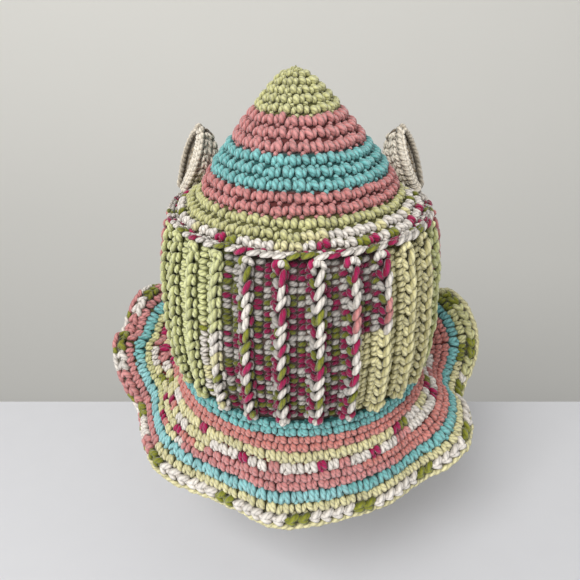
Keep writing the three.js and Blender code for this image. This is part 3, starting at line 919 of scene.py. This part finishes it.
class HOOD_OT_ribbed_band(HoodPiece, bpy.types.Operator):
    """Make the tall band of upright ribs"""
    bl_idname = "hood.ribbed_band"
    bl_label = "Ribbed band"

    def execute(self, context):
        self.begin(context, 3)
        count = round(BAND_HEIGHT / self.sizes.rib_stitch)
        ridges, valleys = StitchRows(self.rng), StitchRows(self.rng)
        for rib in range(RIB_COUNT):
            ridge = (rib + 0.5) * RIB_PITCH
            for rows, columns, dyed in ((ridges, RIDGE_COLUMNS, {}), (ridges, FLANK_COLUMNS, DEEP_DYES),
                                        (valleys, VALLEY_COLUMNS, DEEP_DYES)):
                for column in columns:
                    self.column(rows, ridge, rib_yarns(rib), dyed, count, *column)
            for drop, name in zip((CAP_INSET, BAND_HEIGHT - CAP_INSET), rib_yarns(rib)):
                self.cap(ridges, ridge, drop, self.yarn(name))
        pieces = [worked(ridges, "band_ridge_stitches", self.sizes, seed=3),
                  worked(valleys, "band_valley_stitches", self.sizes, seed=9)]

        angles = np.linspace(0, 2 * math.pi, RIB_COUNT * RIB_POINTS, endpoint=False)
        drops = np.linspace(0, BAND_HEIGHT, count * 2 + 1)
        outside = [band_surface(angles, d, -self.sizes.bed * RIB_BED) for d in drops[:-1]]
        outside.append(band_surface(angles, BAND_HEIGHT, -FOOT_BED))
        inside = []
        for i, d in enumerate(drops[::-1]):
            z = BAND_HEIGHT - d
            wave = INSIDE_RIBS * rib_share(angles) + INSIDE_ROWS * (i % 2)
            inside.append(oval_point(angles, band_half_width(z) - RIB_RELIEF - BAND_WALL + wave, z))
        rib_tints = np.array([[average_colour(self.yarns, name) for name in rib_yarns(int(angle / RIB_PITCH))]
                              for angle in angles])
        tones = [rib_tints[:, 0 if d < BAND_HEIGHT * RIB_COLOUR_CHANGE else 1] for d in drops]
        # Painted shade: the fabric's outside and its rim are darker and fuller in colour than their yarn
        fabric = fabric_from_rings(
            "band_fabric", [*outside, *inside],
            [*(deep(tone) for tone in tones), deep(tones[-1]), *tones[-2::-1]], closed=True)
        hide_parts("ribbed_band")
        return {"FINISHED"}

    def column(self, rows, ridge, names, dyed, count, place, shift, *strand):
        """One column of stitches down a rib, with a yarn for its upper and its lower half."""
        step = BAND_HEIGHT / count
        upper, lower = names
        top_yarn, low_yarn = self.yarn(dyed.get(upper, upper)), self.yarn(dyed.get(lower, lower))
        drops = (np.arange(count) + COLUMN_START + shift) * step
        drops = drops[(drops > step * COLUMN_TOP) & (drops < BAND_HEIGHT - step * COLUMN_FOOT)]
        angle = np.full(drops.shape, ridge + place * RIB_PITCH)
        width = RIB_PITCH * BAND_HALF_WIDTH * math.sqrt(DEPTH_RATIO)
        for drop, *frame_at in zip(drops, *surface_frame(band_surface, angle, drops, RIB_LIFT)):
            name, yarn = (upper, top_yarn) if drop < BAND_HEIGHT * RIB_COLOUR_CHANGE else (lower, low_yarn)
            # Painted shade: dyed strands between the ribs are darkened
            shade = VALLEY_SHADE if name in dyed else 1.0
            rows.lay(frame_at, Strand(0, 0, *strand), width, step, [shade * c for c in yarn.next()])

    def cap(self, rows, ridge, drop, yarn):
        """Rounded end of one rib, where the yarn turns back."""
        places = ridge + RIB_PITCH * np.array(CAP_PLACES)
        frames = surface_frame(band_surface, places, np.full(len(places), drop), CAP_LIFT)
        for strand, *frame_at in zip(CAP_STRANDS, *frames):
            rows.lay(frame_at, strand, RIB_PITCH * BAND_HALF_WIDTH, CAP_STITCH, yarn.next())


class HOOD_OT_ruffle_brim(HoodPiece, bpy.types.Operator):
    """Make the wavy brim, worked in rounds down from the band"""
    bl_idname = "hood.ruffle_brim"
    bl_label = "Ruffle brim"

    def execute(self, context):
        self.begin(context, 4)
        end = BRIM_SLOPE - EDGING_WIDTH - JOIN_GAP
        total = sum(height for height, _ in BRIM_ROUNDS)
        front, back = StitchRows(self.rng), StitchRows(self.rng)
        slope = 0.0
        tones, slopes = [], []
        for i, (height, changes) in enumerate(BRIM_ROUNDS):
            height *= end / total
            run, start = slope + height / 2, math.pi + BRIM_TURN * i
            yarn_of = self.yarns_by_angle(changes)
            lay_round(front, brim_surface, run, height, self.sizes.stitch_width * BRIM_STITCH_SHARE,
                      BRIM_STITCH, yarn_of, start, BRIM_WALL / 2 + BRIM_LIFT)
            lay_round(back, brim_surface, run, height, self.sizes.stitch_width, BRIM_BACK_STITCH, yarn_of,
                      start, -BRIM_WALL / 2 - BRIM_BACK_LIFT, back=True)
            for part in range(RINGS_PER_ROUND):
                slopes.append(slope + height * part / RINGS_PER_ROUND)
                # Painted shade: the brim's fabric between the stitches is darker and fuller in colour than its
                # yarn
                tones.append(deep(average_colour(self.yarns, changes[-1][1])))
            slope += height
        slopes.append(end)
        tones.append(tones[-1])
        stitches = worked(front, "brim_stitches", self.sizes, seed=4)
        under = worked(back, "brim_under_stitches", self.sizes, seed=5)
        fabric = brim_fabric("brim_fabric", slopes, tones, self.sizes.bed)
        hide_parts("ruffle_brim")
        area = measured_area(brim_surface, 0.0, end)
        return {"FINISHED"}


class HOOD_OT_brim_edging(HoodPiece, bpy.types.Operator):
    """Make the braided last round of the brim and the cord along its edge"""
    bl_idname = "hood.brim_edging"
    bl_label = "Brim edging"

    def execute(self, context):
        self.begin(context, 5)
        start = BRIM_SLOPE - EDGING_WIDTH
        braid = EDGING_WIDTH - EDGE_CORD
        rows = StitchRows(self.rng)
        yarn_of = self.yarns_by_angle(EDGE_YARNS)
        cord_yarn_of = self.yarns_by_angle(CORD_YARNS)
        for face in (1, -1):
            lay_round(rows, brim_surface, start + braid / 2, braid, self.sizes.stitch_width * BRAID_STITCH_SHARE,
                      EDGE_STITCH, yarn_of, math.pi, face * (BRIM_WALL / 2 + BRIM_BACK_LIFT), back=face < 0)
        lay_round(rows, brim_surface, BRIM_SLOPE - EDGE_CORD / 2 + EDGE_CORD_PAST, EDGE_CORD * CORD_HEIGHT_SHARE,
                  self.sizes.stitch_width * CORD_STITCH_SHARE, EDGE_CORD_STITCH, cord_yarn_of, math.pi, 0.0)
        worked(rows, "edging_stitches", self.sizes, seed=6)
        slopes = np.linspace(start, BRIM_SLOPE - EDGE_INSET, EDGE_RINGS)
        # Painted shade: the edging's fabric between the stitches is darker and fuller in colour than its yarn
        tone = deep(average_colour(self.yarns, "dyed_edge"))
        fabric = brim_fabric("edging_fabric", slopes, [tone] * len(slopes), self.sizes.bed)
        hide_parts("brim_edging")
        return {"FINISHED"}


class EarForm:
    """Surface of one cupped ear; hand is 1 for the right ear and -1 for the left one."""

    def __init__(self, hand):
        self.floor = CROWN_FOOT + CHAIN_HEIGHT + JOIN_GAP
        foot = CROWN_HALF_WIDTH + EAR_OUTSET
        self.root = oval_point(hand * EAR_PLACE, foot, self.floor)
        self.length = unit(np.array([-hand * math.sin(EAR_LEAN), math.sin(EAR_FORWARD_LEAN), math.cos(EAR_LEAN)]))
        self.open = np.array([hand * math.sin(EAR_TURN), -math.cos(EAR_TURN), 0.0])
        self.open = unit(self.open - self.length * (self.open @ self.length))
        self.across = np.cross(self.length, self.open)
        radial = np.array([hand * math.sin(EAR_PLACE), -math.cos(EAR_PLACE), 0.0])
        share = np.interp((self.floor - CROWN_FOOT) / CROWN_HEIGHT, *table_columns(CROWN_OUTLINE))
        self.alongs, self.widths, shares = table_columns(EAR_SECTIONS)
        self.depths = EAR_DEPTH * shares
        self.depths[0] = (foot - CROWN_HALF_WIDTH * share) / (self.open @ radial) + EAR_PRESS

    def point(self, along, v, wall=0.0):
        """Point at a share of the length and a place across from -1 to 1, inside the wall by wall."""
        half = max(EAR_WIDTH / 2 * np.interp(along, self.alongs, self.widths) - wall, EAR_LEAST)
        depth = max(np.interp(along, self.alongs, self.depths) - wall, EAR_LEAST)
        point = (self.root + self.length * EAR_LENGTH * along + self.across * half * math.sin(v * math.pi / 2)
                 - self.open * depth * math.cos(v * math.pi / 2))
        return self.clear(point, JOIN_GAP + wall + EAR_CLEARANCE)

    def clear(self, point, clearance):
        """The point moved off the crown until it keeps the clearance."""
        oval = math.hypot(point[0], point[1] / DEPTH_RATIO)
        start, end = CROWN_LINE[:-1], CROWN_LINE[1:]
        run = end - start
        place = np.array([oval, point[2]])
        share = np.clip(((place - start) * run).sum(1) / (run * run).sum(1), 0, 1)
        feet = start + run * share[:, None]
        nearest = int(np.argmin(np.linalg.norm(feet - place, axis=1)))
        outward = unit(np.array([-run[nearest][1], run[nearest][0]]))
        moved = point.copy()
        if (place - feet[nearest]) @ outward < clearance:
            target = feet[nearest] + outward * clearance
            moved[:2] *= target[0] / oval
            moved[2] = target[1]
        moved[2] = max(moved[2], self.floor)
        return moved

    def tangent(self, along, v, wall=0.0, step=0.05):
        """Direction towards the ear's point."""
        return unit(self.point(min(along + step, 1), v, wall) - self.point(max(along - step, 0), v, wall))

    def frame(self, along, v, wall):
        """Point, direction across, direction to the ear's point and normal out of the cup's back."""
        point = self.point(along, v, wall)
        across = unit(self.point(along, min(v + 0.06, 1), wall) - self.point(along, max(v - 0.06, -1), wall))
        up = self.tangent(along, v, wall, 0.03)
        normal = unit(np.cross(across, up))
        if normal @ (point - self.root - self.length * EAR_LENGTH * along) < 0:
            normal = -normal
        return point, across, up, normal


class HOOD_OT_ears(HoodPiece, bpy.types.Operator):
    """Make the two cupped ears"""
    bl_idname = "hood.ears"
    bl_label = "Ears"

    def execute(self, context):
        for name, hand in (("left_ear", -1), ("right_ear", 1)):
            self.begin(context, 6 + hand)
            form = EarForm(hand)
            rows = StitchRows(self.rng)
            # The hollow side's darker yarn is painted shade
            yarn, hollow_shade_yarn = self.yarn("cream"), self.yarn("tan")
            for wall, side, face_yarn in ((0.0, 1, yarn), (EAR_WALL, -1, hollow_shade_yarn)):
                self.face(rows, form, wall, side, face_yarn)
            for v in (-1, 1):
                self.rim(rows, form, v, yarn)
            stitches = worked(rows, name + "_stitches", self.sizes, seed=8 + hand)
            fabric = self.fabric(name + "_fabric", form)
            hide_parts(name)
        return {"FINISHED"}

    def face(self, rows, form, wall, side, yarn):
        """Rows of stitches on the back of the ear, or in its hollow."""
        for along in (np.arange(EAR_ROWS) + 0.5) / EAR_ROWS:
            arc = EAR_ARC * EAR_WIDTH / 2 * float(np.interp(along, form.alongs, form.widths))
            count = max(2, round(arc / EAR_STITCH_WIDTH))
            for v in (np.arange(count) + 0.5) / count * 2 * EAR_REACH - EAR_REACH:
                point, across, up, normal = form.frame(along, v, wall)
                facing = normal * side
                for strand in EAR_STITCH:
                    rows.lay((point + facing * EAR_LIFT, across, up, facing), strand, arc / count,
                             EAR_LENGTH / EAR_ROWS, yarn.next())

    def rim(self, rows, form, v, yarn):
        """Slanted strands over one rim of the ear."""
        for along in (np.arange(RIM_COUNT) + 0.4) / RIM_COUNT:
            middle = (form.point(along, v) + form.point(along, v, EAR_WALL)) / 2
            ahead = form.tangent(along, v)
            facing = unit(form.open + form.across * v * 0.8)
            sideways = unit(np.cross(facing, ahead))
            for way in (1, -1):
                rows.add(middle + sideways * RIM_SHIFT * way + facing * RIM_LIFT,
                         ahead * math.cos(RIM_LEAN) + sideways * math.sin(RIM_LEAN) * way, facing, RIM_STRAND,
                         yarn.next())

    def fabric(self, name, form):
        """Closed cup between the two faces of stitches."""
        steps = np.linspace(-1, 1, EAR_POINTS)
        rings = [[form.point(along, v, EAR_BED) for v in steps]
                 + [form.point(along, v, EAR_WALL - EAR_BED) for v in steps[::-1]]
                 for along in np.linspace(0, 1, EAR_RINGS)]
        size = len(rings[0])
        last = (len(rings) - 1) * size
        faces = [(i + k, i + k + size, i + (k + 1) % size + size, i + (k + 1) % size)
                 for i in range(0, last, size) for k in range(size)]
        for k in range(size // 2 - 1):
            faces.append((k, k + 1, size - 2 - k, size - 1 - k))
            faces.append((last + size - 1 - k, last + size - 2 - k, last + k + 1, last + k))
        vertices = [tuple(p) for ring in rings for p in ring]
        tints = [average_colour(self.yarns, "cream")] * len(vertices)
        return fabric_object(name, vertices, faces, tints)


class HOOD_OT_stage(bpy.types.Operator):
    """Make the table, the wall, the lights and the camera"""
    bl_idname = "hood.stage"
    bl_label = "Stage"
    bl_options = {"REGISTER", "UNDO"}

    def execute(self, context):
        table = context.scene.hood_sizes.table_height
        self.plane("table", [(-3, -3, table), (3, -3, table), (3, TABLE_BACK, table), (-3, TABLE_BACK, table)],
                   plain_material("Pale table", (0.86, 0.86, 0.87), 0.7, 40, 0.03))
        self.plane("wall", [(-4, WALL_AT, -2), (4, WALL_AT, -2), (4, WALL_AT, 3), (-4, WALL_AT, 3)],
                   plain_material("Grey wall", (0.90, 0.89, 0.86), 0.9, 8, 0.02))
        for lamp in LAMPS:
            light = bpy.data.lights.new(lamp.name, "AREA")
            light.shape, light.size, light.energy = "SQUARE", lamp.size, lamp.power
            made = placed(lamp.name, light)
            made.location = lamp.place
            made.rotation_mode = "QUATERNION"
            made.rotation_quaternion = (Vector(LIT_PLACE) - Vector(lamp.place)).to_track_quat("-Z", "Y")
        world = bpy.data.worlds.new("Soft room")
        world.use_nodes = True
        world.node_tree.nodes["Background"].inputs["Color"].default_value = ROOM_LIGHT
        world.node_tree.nodes["Background"].inputs["Strength"].default_value = ROOM_STRENGTH
        context.scene.world = world
        context.scene.view_settings.view_transform = "Standard"
        self.camera(context)
        return {"FINISHED"}

    def plane(self, name, corners, material):
        mesh = bpy.data.meshes.new(name)
        mesh.from_pydata(corners, [], [(0, 1, 2, 3)])
        mesh.materials.append(material)
        made = placed(name, mesh)

    def camera(self, context):
        """Camera behind and above the hood, where the photograph was taken."""
        made = placed("Camera", bpy.data.cameras.new("Camera"))
        made.data.sensor_width, made.data.lens = SENSOR, LENS
        made.data.shift_x = -AXIS_SHARE
        made.data.clip_start = 0.01
        made.location = CAMERA_PLACE
        made.rotation_mode = "XYZ"
        made.rotation_euler = (math.radians(90 - CAMERA_TILT), 0, 0)
        context.scene.camera = made


class HOOD_PT_panel(bpy.types.Panel):
    """Lists the pieces of the hood, its yarns and its sizes"""
    bl_idname = "HOOD_PT_panel"
    bl_label = "Pixie Hood"
    bl_space_type = "VIEW_3D"
    bl_region_type = "UI"
    bl_category = "Pixie Hood"

    def draw(self, context):
        column = self.layout.column()
        for operator in OPERATORS:
            column.operator(operator.bl_idname)
        for settings in (context.scene.hood_sizes, context.scene.hood_yarns):
            for name in settings.__annotations__:
                column.prop(settings, name)


OPERATORS = (HOOD_OT_stage, HOOD_OT_crown, HOOD_OT_chain_line, HOOD_OT_ribbed_band, HOOD_OT_brim_edging,
             HOOD_OT_ruffle_brim, HOOD_OT_ears)
CLASSES = (HoodYarns, HoodSizes, *OPERATORS, HOOD_PT_panel)


def register():
    for cls in CLASSES:
        bpy.utils.register_class(cls)
    bpy.types.Scene.hood_yarns = PointerProperty(type=HoodYarns)
    bpy.types.Scene.hood_sizes = PointerProperty(type=HoodSizes)


def unregister():
    del bpy.types.Scene.hood_sizes
    del bpy.types.Scene.hood_yarns
    for cls in reversed(CLASSES):
        bpy.utils.unregister_class(cls)


def main():
    register()
    for operator in OPERATORS:
        group, name = operator.bl_idname.split(".")
        getattr(getattr(bpy.ops, group), name)()


if __name__ == "__main__":
    main()
